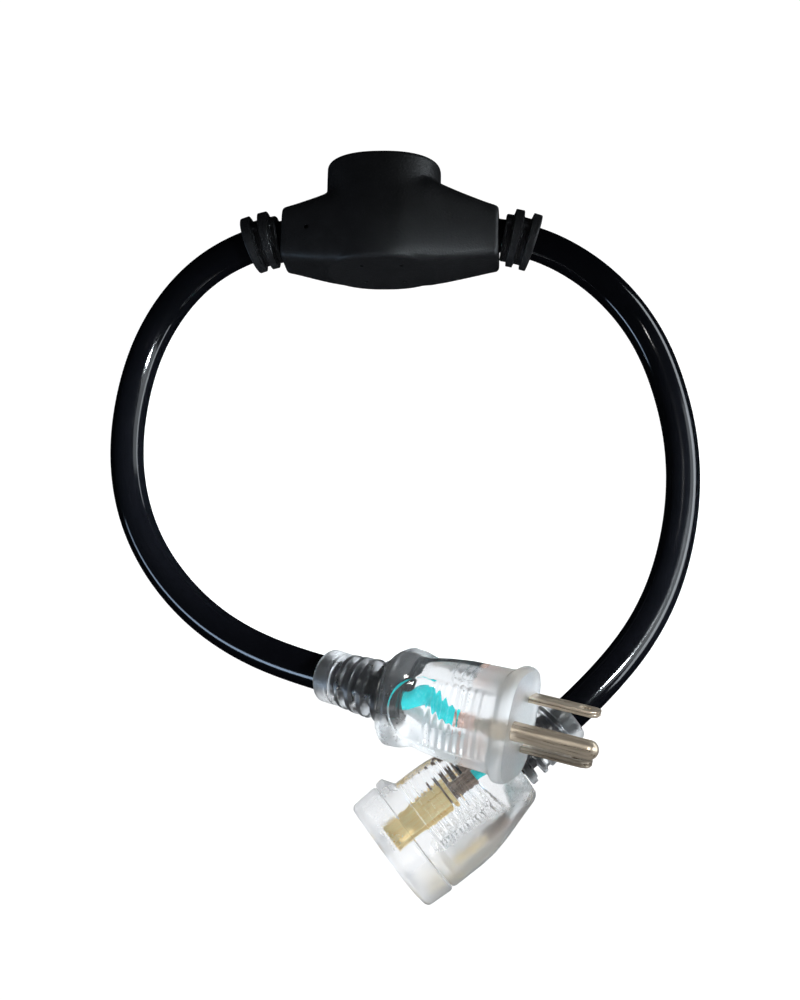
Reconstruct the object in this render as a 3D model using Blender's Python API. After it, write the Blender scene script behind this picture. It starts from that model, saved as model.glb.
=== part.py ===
"""Power adapter dogbone: an in-line T tap, a clear male plug and a clear female connector on one cord.

All sizes below are in millimetres and degrees. Every piece is built in the frame of its own device
(x along the device's axis, z up through its earth side), then placed on the table and turned to metres.
"""
import math

import bmesh
import bpy
import numpy as np
from mathutils import Matrix, Vector

# ---------------------------------------------------------------- driving dimensions
CORD_D = 9.2                 # jacket, three 14 AWG cores
CORE_D = 3.0                 # one insulated core
GAP = 0.3                    # between pieces that touch
RELIEF_GAP = 1.4             # a leaning relief from the flat end of an arm
BORE_R = CORD_D / 2 + 0.5    # every passage that a jacket runs through

# standard 15 A three-pole layout
BLADE_PITCH = 12.7
BLADE_T, BLADE_W, BLADE_OUT = 1.5, 6.35, 17.5
PIN_R, PIN_OUT = 2.4, 21.6
EARTH_RISE = 11.9            # earth pole above the line of the blades
POLE_Z = -4.7                # height of the blade line in a device's own frame

# in-line T tap: drum with its socket towards +y, an arm to each side
TAP_R, TAP_H = 15.5, 28.4
TAP_FRONT, TAP_BACK = 15.2, -15.2
TAP_ARM = (-29.0, 30.5)      # where the arms end
TAP_CORD_Y, TAP_CORD_Z = -3.4, 14.2
TAP_SHIFT = -1.2             # drum's middle from the middle of the arms
HOLE_PITCH = (10.8, 13.0)    # the four blind holes in the back
HOLE_R, HOLE_DEEP = 0.65, 1.8

# clear plug and clear connector, lengths back from the face
PLUG_LEN, PLUG_RELIEF = 35.0, 19.0
CONN_LEN, CONN_CAP, CONN_RELIEF = 40.0, 8.0, 18.0
PLUG_JACKET, CONN_JACKET = 27.6, 38.8    # where each jacket is cut off inside its device

# places on the table
HOME = Vector((-7.94, 84.63, 0.0))           # the tap's foot in the row frame
PLUG_AT, PLUG_TURN, PLUG_RISE, PLUG_ROLL = (37.8, -140.9, 39.6), -14.5, 13.5, 19.0
CONN_AT, CONN_TURN, CONN_RISE, CONN_ROLL = (3.9, -172.6, 15.5), 218.5, 0.0, 16.0

# cord routes, from the tap out, hand laid; each one's last two points are inside its device
ROUTE_PLUG = [
    (-15.6, -3.4, 14.2), (-29.0, -4.2, 14.0), (-41.0, -7.3, 12.6), (-52.0, -12.9, 9.8),
    (-61.3, -21.8, 6.8), (-68.0, -34.1, 5.2), (-71.6, -48.6, 4.8), (-72.4, -62.6, 4.8),
    (-70.4, -76.4, 4.8), (-65.2, -89.6, 4.9), (-57.2, -101.0, 5.8), (-47.2, -110.4, 8.4),
    (-36.4, -117.4, 12.4), (-25.0, -122.6, 17.5), (-13.4, -126.7, 23.2)]
ROUTE_CONN = [
    (14.4, -3.4, 14.2), (30.5, -4.2, 14.0), (42.5, -7.0, 12.6), (53.6, -12.3, 10.0),
    (63.6, -20.4, 7.0), (71.8, -31.9, 5.2), (77.2, -46.0, 4.8), (80.0, -60.0, 4.8),
    (80.4, -74.4, 4.8), (78.4, -88.6, 5.1), (74.2, -102.2, 6.4), (67.8, -114.4, 8.9),
    (59.2, -125.6, 12.2)]
CORD_STEP = (3.0, 10.0)      # spacing of the tube's points inside the reliefs and along the loop
RELIEF_RUN = 30.0            # how far from either end the close spacing goes

BLACK = (0.012, 0.013, 0.015, 1)
CLEAR = (0.86, 0.90, 0.95, 1)
NICKEL = (0.55, 0.50, 0.42, 1)
BRASS = (0.78, 0.55, 0.20, 1)
COPPER = (0.62, 0.30, 0.18, 1)


# ---------------------------------------------------------------- scene and materials
def clear_scene():
    for obj in list(bpy.data.objects):
        bpy.data.objects.remove(obj, do_unlink=True)


def material(name, colour, rough=0.45, metal=0.0, clear=0.0):
    mat = bpy.data.materials.get(name)
    if mat:
        return mat
    mat = bpy.data.materials.new(name)
    mat.use_nodes = True
    shader = mat.node_tree.nodes["Principled BSDF"]
    shader.inputs["Base Color"].default_value = colour
    shader.inputs["Roughness"].default_value = rough
    shader.inputs["Metallic"].default_value = metal
    shader.inputs["Transmission Weight"].default_value = clear
    shader.inputs["IOR"].default_value = 1.5
    mat.diffuse_color = colour
    return mat


def black_pvc():
    return material("black_pvc", BLACK, 0.55)


def jacket_pvc():
    return material("jacket_pvc", BLACK, 0.35)


def clear_pvc():
    return material("clear_pvc", CLEAR, 0.15, clear=0.9)


def nickel():
    return material("nickel_plate", NICKEL, 0.25, metal=1.0)


def brass():
    return material("brass", BRASS, 0.3, metal=1.0)


def copper():
    return material("copper", COPPER, 0.3, metal=1.0)


def core_pvc(colour_name):
    colours = {"black": BLACK, "white": (0.80, 0.80, 0.78, 1), "green": (0.0, 0.42, 0.38, 1)}
    return material("core_" + colour_name, colours[colour_name], 0.35)


# ---------------------------------------------------------------- mesh helpers
def make(name, verts, faces, mat=None):
    mesh = bpy.data.meshes.new(name)
    mesh.from_pydata([tuple(v) for v in verts], [], faces)
    obj = bpy.data.objects.new(name, mesh)
    bpy.context.scene.collection.objects.link(obj)
    bm = bmesh.new()
    bm.from_mesh(mesh)
    bmesh.ops.recalc_face_normals(bm, faces=bm.faces)
    bm.to_mesh(mesh)
    bm.free()
    if mat:
        mesh.materials.append(mat)
    return obj


def skin(name, rings, mat=None):
    """One closed body through rings of equal count."""
    n = len(rings[0])
    verts = [v for ring in rings for v in ring]
    faces = [list(range(n))[::-1], list(range(len(verts) - n, len(verts)))]
    for k in range(len(rings) - 1):
        for i in range(n):
            j = (i + 1) % n
            faces.append([k * n + i, k * n + j, (k + 1) * n + j, (k + 1) * n + i])
    return make(name, verts, faces, mat)


def soft_ring(x, half, up, down, power=2.8, count=40, y0=0.0, z0=0.0):
    """A rounded outline across the x axis; up and down may differ."""
    ring = []
    for i in range(count):
        a = math.tau * i / count
        c, s = math.cos(a), math.sin(a)
        y = half * math.copysign(abs(c) ** (2 / power), c)
        z = (up if s > 0 else down) * math.copysign(abs(s) ** (2 / power), s)
        ring.append(Vector((x, y0 + y, z0 + z)))
    return ring


def loft(name, rows, power=2.8, count=40, mat=None):
    """rows: (back from the face, half width, up, down)."""
    return skin(name, [soft_ring(-s, w, u, d, power, count) for s, w, u, d in rows], mat)


def box(name, lo, hi, mat=None):
    (x0, y0, z0), (x1, y1, z1) = lo, hi
    verts = [(x, y, z) for x in (x0, x1) for y in (y0, y1) for z in (z0, z1)]
    faces = [[0, 1, 3, 2], [4, 6, 7, 5], [0, 4, 5, 1], [2, 3, 7, 6], [0, 2, 6, 4], [1, 5, 7, 3]]
    return make(name, verts, faces, mat)


def turned(name, profile, at=(0.0, 0.0), count=24, mat=None):
    """A solid turned about a line along x at (y, z); profile is (x, radius) in order."""
    rings = [[Vector((x, at[0] + r * math.cos(math.tau * i / count),
                      at[1] + r * math.sin(math.tau * i / count))) for i in range(count)]
             for x, r in profile]
    return skin(name, rings, mat)


def combine(obj, others, how):
    """Exact boolean with a list of throwaway bodies."""
    for other in others:
        mod = obj.modifiers.new("b", "BOOLEAN")
        mod.operation, mod.solver, mod.object = how, "EXACT", other
        other.hide_render, other.display_type = True, "WIRE"
    graph = bpy.context.evaluated_depsgraph_get()
    mesh = bpy.data.meshes.new_from_object(obj.evaluated_get(graph))
    obj.modifiers.clear()
    old, obj.data = obj.data, mesh
    bpy.data.meshes.remove(old)
    for other in others:
        bpy.data.objects.remove(other, do_unlink=True)
    return obj


def tidy_mesh(obj, angle=35.0):
    """Weld, drop slivers, and shade smooth up to the given angle."""
    bm = bmesh.new()
    bm.from_mesh(obj.data)
    bmesh.ops.remove_doubles(bm, verts=bm.verts, dist=1e-4)
    bmesh.ops.dissolve_degenerate(bm, edges=bm.edges, dist=1e-4)
    bmesh.ops.triangulate(bm, faces=[f for f in bm.faces if len(f.verts) > 4])
    for face in bm.faces:
        face.smooth = True
    for edge in bm.edges:
        edge.smooth = edge.is_manifold and math.degrees(edge.calc_face_angle(0)) < angle
    bm.to_mesh(obj.data)
    bm.free()


# ---------------------------------------------------------------- curves
def through(points, step):
    """Points every `step` along the natural cubic spline through the given ones."""
    pts = np.array([tuple(p) for p in points])
    h = np.linalg.norm(np.diff(pts, axis=0), axis=1)
    knot = np.concatenate([[0.0], np.cumsum(h)])
    n = len(pts)
    system, right = np.eye(n), np.zeros((n, 3))
    for i in range(1, n - 1):
        system[i, i - 1:i + 2] = h[i - 1], 2 * (h[i - 1] + h[i]), h[i]
        right[i] = 6 * ((pts[i + 1] - pts[i]) / h[i] - (pts[i] - pts[i - 1]) / h[i - 1])
    bow = np.linalg.solve(system, right)
    out = []
    for t in np.linspace(0.0, knot[-1], max(2, round(knot[-1] / step)) + 1):
        i = min(int(np.searchsorted(knot, t, side="right")) - 1, n - 2)
        u, v = knot[i + 1] - t, t - knot[i]
        out.append(Vector(bow[i] * u ** 3 / (6 * h[i]) + bow[i + 1] * v ** 3 / (6 * h[i])
                          + (pts[i] / h[i] - bow[i] * h[i] / 6) * u
                          + (pts[i + 1] / h[i] - bow[i + 1] * h[i] / 6) * v))
    return out


def frames(points):
    """Tangent, side and up at each point, with up kept as near +z as it can be."""
    out = []
    for i, p in enumerate(points):
        t = (points[min(i + 1, len(points) - 1)] - points[max(i - 1, 0)]).normalized()
        side = Vector((0, 0, 1)).cross(t).normalized()
        out.append((p, t, side, t.cross(side)))
    return out


def bend(obj, points):
    """Lay a body built along +x, from x = 0, onto a finely sampled path."""
    rows = frames(points)
    run = [0.0]
    for p, q in zip(points, points[1:]):
        run.append(run[-1] + (q - p).length)
    for v in obj.data.vertices:
        x = min(max(v.co.x, 0.0), run[-1] - 1e-6)
        k = max(i for i, r in enumerate(run) if r <= x)
        f = (x - run[k]) / (run[k + 1] - run[k])
        p, t, side, up = (rows[k][j].lerp(rows[k + 1][j], f) for j in range(4))
        v.co = p + side.normalized() * v.co.y + up.normalized() * v.co.z
    return obj


def wire(name, points, radius, mat, count=10, step=1.6):
    rings = [[p + (side * math.cos(math.tau * i / count) + up * math.sin(math.tau * i / count)) * radius
              for i in range(count)] for p, _, side, up in frames(through(points, step))]
    return skin(name, rings, mat)


def cord(name, points):
    """The jacket as a round tube on a poly spline."""
    curve = bpy.data.curves.new(name, "CURVE")
    curve.dimensions = "3D"
    curve.bevel_depth = CORD_D / 2 * 0.001
    curve.bevel_resolution = 4
    curve.use_fill_caps = True
    close, wide = CORD_STEP
    total = sample(points, 0.0, 0.0, lambda run: 1.0)[1]
    inner = (total - 2 * RELIEF_RUN) / round((total - 2 * RELIEF_RUN) / wide)
    pts, _ = sample(points, 0.0, total, lambda run: inner if RELIEF_RUN - 1 < run < total - RELIEF_RUN - 1
                    else close)
    spline = curve.splines.new("POLY")
    spline.points.add(len(pts) - 1)
    for slot, p in zip(spline.points, pts):
        slot.co = (*((p + HOME) * 0.001), 1)
    spline.use_smooth = True
    obj = bpy.data.objects.new(name, curve)
    curve.materials.append(jacket_pvc())
    bpy.context.scene.collection.objects.link(obj)
    return obj


# ---------------------------------------------------------------- places
def placing(at, turn, rise, roll):
    return (Matrix.Translation(Vector(at)) @ Matrix.Rotation(math.radians(turn), 4, "Z")
            @ Matrix.Rotation(math.radians(-rise), 4, "Y") @ Matrix.Rotation(math.radians(roll), 4, "X"))


TAP_M = Matrix.Identity(4)
PLUG_M = placing(PLUG_AT, PLUG_TURN, PLUG_RISE, PLUG_ROLL)
CONN_M = placing(CONN_AT, CONN_TURN, CONN_RISE, CONN_ROLL)


def settle(obj, matrix, angle=35.0):
    """Into the row frame, in metres."""
    obj.data.transform(matrix)
    tidy_mesh(obj, angle)
    obj.data.transform(Matrix.Scale(0.001, 4) @ Matrix.Translation(HOME))
    return obj


def route(points, matrix, ends):
    """A cord's route with its last points on the device's own axis."""
    return [Vector(p) for p in points] + [matrix @ Vector((-s, 0, 0)) for s in ends]


def sample(points, start, length, step):
    """Points of a route's smooth curve from exactly `start` along it; step is a function of the run."""
    pts = through(points, 0.25)
    run, out, want = 0.0, [], start
    for p, q in zip(pts, pts[1:]):
        span = (q - p).length
        while want <= run + span and want <= start + length:
            out.append(p.lerp(q, (want - run) / span))
            want += step(want)
        run += span
    return out, run


def stretch(points, start, length):
    return sample(points, start, length, lambda run: 1.0)[0]


# ---------------------------------------------------------------- in-line tap
def drum_ring(y, inset):
    ring = []
    for i in range(48):
        a = math.tau * i / 48
        x = (TAP_R - inset) * math.cos(a)
        z = min(max(TAP_H / 2 + (TAP_R - inset) * math.sin(a), inset), TAP_H - inset)
        ring.append(Vector((TAP_SHIFT + x, y, z)))
    return ring


def tap_housing(plug_route, conn_route):
    f, b = TAP_FRONT, TAP_BACK
    drum = skin("tap_housing", [drum_ring(b, 1.6), drum_ring(b + 0.5, 0.6), drum_ring(b + 1.8, 0.0),
                                drum_ring(f - 0.8, 0.0), drum_ring(f - 0.2, 0.3), drum_ring(f, 0.9)],
                black_pvc())
    rows = []                # x, lowest y, highest y, lowest z, highest z
    left, right = TAP_ARM
    for x, y0, y1, z0, z1 in ((left, -11.6, 2.3, 6.9, 21.5), (left + 0.5, -12.3, 2.8, 6.4, 22.0),
                              (-20.0, -13.8, 5.1, 4.6, 24.2), (-13.0, -14.9, 7.6, 2.4, 26.2),
                              (-6.0, -15.0, 10.6, 0.8, 27.8), (5.0, -15.0, 11.0, 0.8, 27.8),
                              (11.5, -14.9, 9.9, 2.4, 26.2), (20.0, -13.8, 6.4, 4.8, 24.0),
                              (right - 0.5, -12.3, 2.8, 6.4, 22.0), (right, -11.6, 2.3, 6.9, 21.5)):
        hy, hz = (y1 - y0) / 2, (z1 - z0) / 2
        rows.append(soft_ring(x, hy, hz, hz, 4.0, 32, (y0 + y1) / 2, (z0 + z1) / 2))
    arms = skin("arms", rows)
    combine(drum, [arms], "UNION")
    cuts = []
    for points in (plug_route, conn_route):
        run = stretch(points, 0.0, 22.0)
        run.insert(0, run[0] + (run[0] - run[1]).normalized() * 4)
        cuts.append(wire("bore", run[::2], BORE_R, None, 24, 3.0))
    cuts += [skin("chamber", [drum_ring(-11.6, 3.0), drum_ring(TAP_FRONT + 2, 3.0)])]
    mid = TAP_H / 2
    for sx in (-1, 1):
        for sz in (-1, 1):
            x, z = TAP_SHIFT + sx * HOLE_PITCH[0] / 2, mid + sz * HOLE_PITCH[1] / 2
            hole = turned("hole", [(TAP_BACK - 1, HOLE_R), (TAP_BACK + HOLE_DEEP, HOLE_R)], count=10)
            hole.data.transform(Matrix.Translation((x, 0, z)) @ Matrix.Rotation(math.pi / 2, 4, "Z"))
            cuts.append(hole)
    for cut in cuts:
        combine(drum, [cut], "DIFFERENCE")
    return settle(drum, TAP_M)


def pole_cuts(x0, x1, slack=GAP):
    """Cutters for the two blades and the earth pole between x0 and x1 of a device's frame."""
    t, w = BLADE_T / 2 + slack, BLADE_W / 2 + slack
    cuts = [box("slot", (x0, s * BLADE_PITCH / 2 - t, POLE_Z - w), (x1, s * BLADE_PITCH / 2 + t, POLE_Z + w))
            for s in (-1, 1)]
    cuts.append(turned("round", [(x0, PIN_R + slack), (x1, PIN_R + slack)], (0, POLE_Z + EARTH_RISE)))
    return cuts


# the tap's socket looks along +y: a device frame whose x is the tap's y
SOCKET_M = Matrix.Translation((TAP_SHIFT, TAP_FRONT, TAP_H / 2)) @ Matrix.Rotation(math.pi / 2, 4, "Z")


def socket_plate():
    obj = skin("tap_socket_plate", [[Vector((p.y - TAP_FRONT, -(p.x - TAP_SHIFT), p.z - TAP_H / 2))
                                     for p in drum_ring(y, 3.0 + GAP)] for y in (8.0, 14.9)], black_pvc())
    for cut in pole_cuts(-10, 1):
        combine(obj, [cut], "DIFFERENCE")
    return settle(obj, SOCKET_M)


def leaf_contact(name, at, length, back, spread, width, flat, matrix, mat):
    """A strip folded to two leaves; flat lays the leaves level, as on the earth pole."""
    t, y, z = 0.5, at[0], at[1]
    out = [(back, -spread), (back + length, -spread + 0.5), (back + length, -spread + 0.5 + t),
           (back + t, -spread + t), (back + t, spread - t), (back + length, spread - 0.5 - t),
           (back + length, spread - 0.5), (back, spread)]
    verts = []
    for half in (-width / 2, width / 2):
        for x, d in out:
            verts.append((x, y + half, z + d) if flat else (x, y + d, z + half))
    n = len(out)
    faces = [[i, (i + 1) % n, n + (i + 1) % n, n + i] for i in range(n)]
    for base in (0, n):      # caps as quads, so the notch stays clear
        faces += [[base + a, base + b, base + c, base + d]
                  for a, b, c, d in ((0, 1, 2, 3), (0, 3, 4, 7), (7, 4, 5, 6))]
    return settle(make(name, verts, faces, mat), matrix)


POLES = (("line", (-BLADE_PITCH / 2, POLE_Z), "black"), ("neutral", (BLADE_PITCH / 2, POLE_Z), "white"),
         ("ground", (0.0, POLE_Z + EARTH_RISE), "green"))


def poles(device):
    """A plug has line and neutral on the other sides from a socket, so that like meets like."""
    side = -1 if device == "plug" else 1
    return [(pole, (side * y, z), colour) for pole, (y, z), colour in POLES]



def tap_contacts():
    for pole, at, _ in POLES:
        flat = pole == "ground"
        leaf_contact(f"tap_{pole}_contact", at, 8.2, -16.2, 2.6 if flat else 1.7, 6.0, flat, SOCKET_M, brass())


def tap_wires():
    y, z = TAP_CORD_Y, TAP_CORD_Z
    xl, xr = ROUTE_PLUG[0][0] + GAP + 0.5, ROUTE_CONN[0][0] - GAP - 0.5
    level = TAP_FRONT - 18.3                 # where a core passes under its contact
    low, high = z + POLE_Z, z + POLE_Z + EARTH_RISE - 0.8
    half, s = BLADE_PITCH / 2, TAP_SHIFT
    near, far = y + 1.75, y - 1.75
    c = y - 1.2                              # middle of the bundle inside the drum
    runs = {
        "line": [(xl, near, z - 1.2), (-10.5, c + 1.75, z - 2.4), (s - half, level, low), (s, c - 0.4, low - 2.2),
                 (s + half, c - 2.75, low), (9.5, c - 2.15, z - 2.4), (xr, far, z - 1.2)],
        "neutral": [(xl, far, z - 1.2), (-10.5, c - 2.15, z - 2.4), (s - half, c - 2.75, low),
                    (s, c - 0.4, low + 2.0), (s + half, level, low), (9.5, c + 1.75, z - 2.4), (xr, near, z - 1.2)],
        "ground": [(xl, y, z + 2.1), (-9, c + 0.5, z + 3.8), (s, level, high), (7, c + 0.5, z + 3.8),
                   (xr, y, z + 2.1)]}
    for pole, _, colour in POLES:
        settle(wire(f"tap_{pole}_wire", runs[pole], CORE_D / 2, core_pvc(colour)), TAP_M)


def tap_relief(name, points, start):
    """Two discs on a sleeve, leaning with the cord."""
    body, disc = CORD_D / 2 + 1.9, 8.0
    profile = [(0.0, body), (2.0, body), (2.1, disc - 0.4), (2.5, disc), (3.9, disc), (4.3, disc - 0.4),
               (4.4, body), (6.4, body), (6.5, disc - 0.4), (6.9, disc), (8.4, disc), (8.9, disc - 0.6)]
    obj = turned(name, profile, count=28, mat=black_pvc())
    combine(obj, [turned("bore", [(-1, BORE_R), (11, BORE_R)], count=28)], "DIFFERENCE")
    return settle(bend(obj, stretch(points, start, 12.0)), TAP_M)


# ---------------------------------------------------------------- clear plug
def thumb_ribs(x0, pitch, number, half, top, deep=1.0, thick=1.0):
    """Low bars across the top and the bottom of a grip."""
    bars = []
    for k in range(number):
        x = x0 - pitch * k
        for level, sign in ((top[0], 1), (-top[1], -1)):
            lo, hi = sorted((level - sign * deep, level + sign * 0.7))
            bars.append(box("bar", (x - thick, -half, lo), (x, half, hi)))
    return bars


def plug_body():
    body = loft("plug_body", [(0.0, 13.7, 12.8, 11.8), (0.5, 14.3, 13.4, 12.4), (3.2, 14.3, 13.4, 12.4),
                              (4.2, 12.9, 12.2, 11.4), (9.0, 12.8, 12.0, 11.2), (16.0, 12.6, 11.8, 10.8),
                              (22.0, 11.9, 11.4, 10.4), (25.5, 11.2, 11.0, 10.0), (28.9, 12.1, 11.8, 10.8),
                              (32.4, 12.3, 12.0, 11.0), (34.0, 11.0, 11.0, 10.0),
                              (PLUG_LEN, 9.4, 9.4, 8.8)], 2.8, 40, clear_pvc())
    for bar in thumb_ribs(-8.5, 2.6, 6, 6.5, (12.0, 11.0)):
        combine(body, [bar], "UNION")
    chamber = loft("chamber", [(9.0, 10.0, 10.2, 8.6), (20.0, 9.6, 9.8, 8.4), (25.0, 7.5, 8.0, 7.2),
                               (32.5, 6.0, 6.0, 6.0)], 4.0, 28)
    cuts = [chamber, turned("bore", [(-PLUG_LEN - 1, BORE_R), (-31.0, BORE_R)])] + pole_cuts(-10, 1)
    for cut in cuts:
        combine(body, [cut], "DIFFERENCE")
    return settle(body, PLUG_M)


def plug_blades():
    for pole, (y, z), _ in poles("plug")[:2]:
        t, w, tail = BLADE_T / 2, BLADE_W / 2, 2.0
        side = [(-9.2, -tail), (-7.2, -tail), (-5.6, -w), (BLADE_OUT - 1.2, -w), (BLADE_OUT, -w + 1.4),
                (BLADE_OUT, w - 1.4), (BLADE_OUT - 1.2, w), (-5.6, w), (-7.2, tail), (-9.2, tail)]
        obj = skin(f"plug_{pole}_blade", [[Vector((x, y + d, z + h)) for x, h in side] for d in (-t, t)],
                   nickel())
        hole = turned("hole", [(-3, 1.55), (3, 1.55)], count=16)
        hole.data.transform(Matrix.Translation((BLADE_OUT - 3.8, y, z)) @ Matrix.Rotation(math.pi / 2, 4, "Z"))
        combine(obj, [hole], "DIFFERENCE")
        settle(obj, PLUG_M)


def plug_pin():
    r = PIN_R
    tip = [(PIN_OUT - r * (1 - math.sin(a)), r * math.cos(a)) for a in
           (math.radians(d) for d in (0, 25, 50, 70))]
    obj = turned("plug_ground_pin", [(-9.2, 1.6), (-7.2, 1.6), (-6.0, r)] + tip,
                 (0, POLE_Z + EARTH_RISE), 20, nickel())
    return settle(obj, PLUG_M)


def crimps(device, x0, length, radius, matrix, mat):
    for pole, at, _ in poles(device):
        obj = turned(f"{device}_{pole}_crimp", [(x0 - length, radius - 0.3), (x0 - length + 0.3, radius),
                                                (x0 - 0.6, radius), (x0, radius - 0.6)], at, 12, mat)
        settle(obj, matrix)


def cores(device, x0, x1, matrix, slack=0.0):
    """Each core from the end of the jacket at x1 to its crimp at x0; the earth core bows out by its slack."""
    inner = {"line": (-1.85, -1.1), "neutral": (1.85, -1.1), "ground": (0.0, 2.1)}
    side = -1 if device == "plug" else 1
    for pole, (y, z), colour in poles(device):
        (u, v), run = inner[pole], x1 - x0
        u *= side
        bow = slack if pole == "ground" else 0.0
        pts = [(x0, y, z), (x0 + run * 0.2, y * 0.98 + u * 0.02 + bow * 0.3, z * 0.98 + v * 0.02),
               (x0 + run * 0.5, (y + u) / 2 + bow, (z + v) / 2), (x0 + run * 0.85, u + bow * 0.2, v), (x1, u, v)]
        settle(wire(f"{device}_{pole}_wire", pts, CORE_D / 2, core_pvc(colour)), matrix)


def clear_relief(name, points, start, length, r0, r1):
    """Ringed sleeve with windows between its rings, narrowing to a collar."""
    profile, rings = [(0.0, r0), (2.4, r0)], 4
    pitch = (length - 6.4) / rings
    for k in range(rings):
        x = 2.4 + pitch * k
        r = r0 + (r1 - r0) * x / length
        profile += [(x + 0.15, r - 1.0), (x + pitch * 0.5, r - 1.1), (x + pitch * 0.5 + 0.15, r - 0.1),
                    (x + pitch, r - 0.2)]
    profile += [(length - 3.9, r1 - 0.6), (length - 3.7, r1), (length - 0.5, r1), (length, r1 - 0.5)]
    obj = turned(name, profile, count=28, mat=clear_pvc())
    combine(obj, [turned("bore", [(-1, BORE_R), (length + 1, BORE_R)], count=28)], "DIFFERENCE")
    for k in range(rings):
        x = 2.4 + pitch * k
        side = 0 if k % 2 else 90
        slot = box("slot", (x + 0.25, -12, -3.0), (x + pitch * 0.5 - 0.1, 12, 3.0))
        slot.data.transform(Matrix.Rotation(math.radians(side), 4, "X"))
        combine(obj, [slot], "DIFFERENCE")
    return settle(bend(obj, stretch(points, start, length + 3)), TAP_M)


# ---------------------------------------------------------------- clear connector
def connector_cap():
    cap = loft("connector_cap", [(0.0, 14.2, 12.5, 12.5), (0.7, 15.0, 13.2, 13.2), (7.4, 15.4, 13.5, 13.5),
                                 (CONN_CAP, 14.9, 13.1, 13.1)], 3.2, 40, clear_pvc())
    cuts = [loft("chamber", [(2.5, 12.4, 10.8, 10.8), (CONN_CAP + 1, 12.4, 10.8, 10.8)], 4.0, 28)]
    for cut in cuts + pole_cuts(-4, 1):
        combine(cap, [cut], "DIFFERENCE")
    return settle(cap, CONN_M)


def narrowed(obj):
    """Behind its flange the connector is slimmer on the earth side than on the blade side."""
    for v in obj.data.vertices:
        amount = 0.3 * min(1.0, max(0.0, (-v.co.x - 10.5) / 2)) * min(1.0, max(0.0, (38.0 + v.co.x) / 6))
        v.co.y *= 1 - amount * min(1.0, max(0.0, (v.co.z + 3.0) / 14))
    return obj


def connector_body():
    s = CONN_CAP + GAP
    body = narrowed(loft("connector_body", [
        (s, 14.9, 13.1, 13.1), (s + 0.6, 15.3, 13.4, 13.4), (10.5, 15.3, 13.4, 13.4), (12.5, 15.3, 13.3, 13.3),
        (18.0, 15.3, 13.3, 13.3), (22.0, 15.0, 13.0, 13.0), (27.0, 13.9, 12.5, 12.5), (32.0, 12.4, 11.8, 11.8),
        (38.0, 10.6, 10.8, 10.8), (39.3, 10.0, 10.2, 10.2), (CONN_LEN, 9.0, 9.2, 9.2)], 3.2, 40, clear_pvc()))
    for bar in thumb_ribs(-13.4, 2.4, 6, 6.6, (13.2, 13.2)):
        combine(body, [bar], "UNION")
    chamber = narrowed(loft("chamber", [
        (s - 1, 12.4, 10.8, 10.8), (10.5, 12.4, 10.8, 10.8), (12.5, 12.4, 10.8, 10.8), (20.0, 12.2, 10.8, 10.6),
        (27.0, 11.0, 10.4, 10.0), (31.0, 9.6, 10.0, 9.4), (36.5, 6.5, 6.5, 6.5), (37.0, 6.0, 6.0, 6.0)], 4.0, 28))
    for cut in (chamber, turned("bore", [(-CONN_LEN - 1, BORE_R), (-35.0, BORE_R)])):
        combine(body, [cut], "DIFFERENCE")
    return settle(body, CONN_M)


def connector_contacts():
    for pole, at, _ in POLES:
        flat = pole == "ground"
        leaf_contact(f"connector_{pole}_contact", at, 18.5, -22.0, 2.7 if flat else 1.7, 6.2, flat, CONN_M,
                     brass())


# ---------------------------------------------------------------- the whole
def build():
    clear_scene()
    plug_route = route(ROUTE_PLUG, PLUG_M, (PLUG_LEN + 4.0, PLUG_JACKET))
    conn_route = route(ROUTE_CONN, CONN_M, (CONN_LEN + 9.0, CONN_JACKET))
    tap_housing(plug_route, conn_route)
    socket_plate()
    tap_contacts()
    tap_wires()
    tap_relief("tap_relief_plug_side", plug_route, -TAP_ARM[0] + RELIEF_GAP + ROUTE_PLUG[0][0])
    tap_relief("tap_relief_connector_side", conn_route, TAP_ARM[1] + RELIEF_GAP - ROUTE_CONN[0][0])
    plug_body()
    plug_blades()
    plug_pin()
    crimps("plug", -9.7, 4.2, 2.1, PLUG_M, copper())
    cores("plug", -14.5, 0.4 - PLUG_JACKET, PLUG_M, 2.2)
    connector_cap()
    connector_body()
    connector_contacts()
    crimps("connector", -22.4, 7.0, 2.2, CONN_M, nickel())
    cores("connector", -29.8, 0.4 - CONN_JACKET, CONN_M)
    clear_relief("plug_relief", list(reversed(plug_route)), PLUG_LEN - PLUG_JACKET + 2 * GAP, PLUG_RELIEF, 8.1, 6.9)
    clear_relief("connector_relief", list(reversed(conn_route)), CONN_LEN - CONN_JACKET + 2 * GAP, CONN_RELIEF, 8.2, 6.8)
    cord("cord_plug_side", plug_route)
    cord("cord_connector_side", conn_route)


build()
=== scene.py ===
"""Looks for the power adapter dogbone: black T socket, clear plug and clear connector on one loop of cord.

Shapes are worked out in millimetres in the frame of their own device (x along its axis towards the face,
z up through the earth side) and placed in the row frame, in metres, by one matrix for each device.
"""
import math

import bmesh
import bpy
import numpy as np
from mathutils import Matrix, Vector


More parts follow.
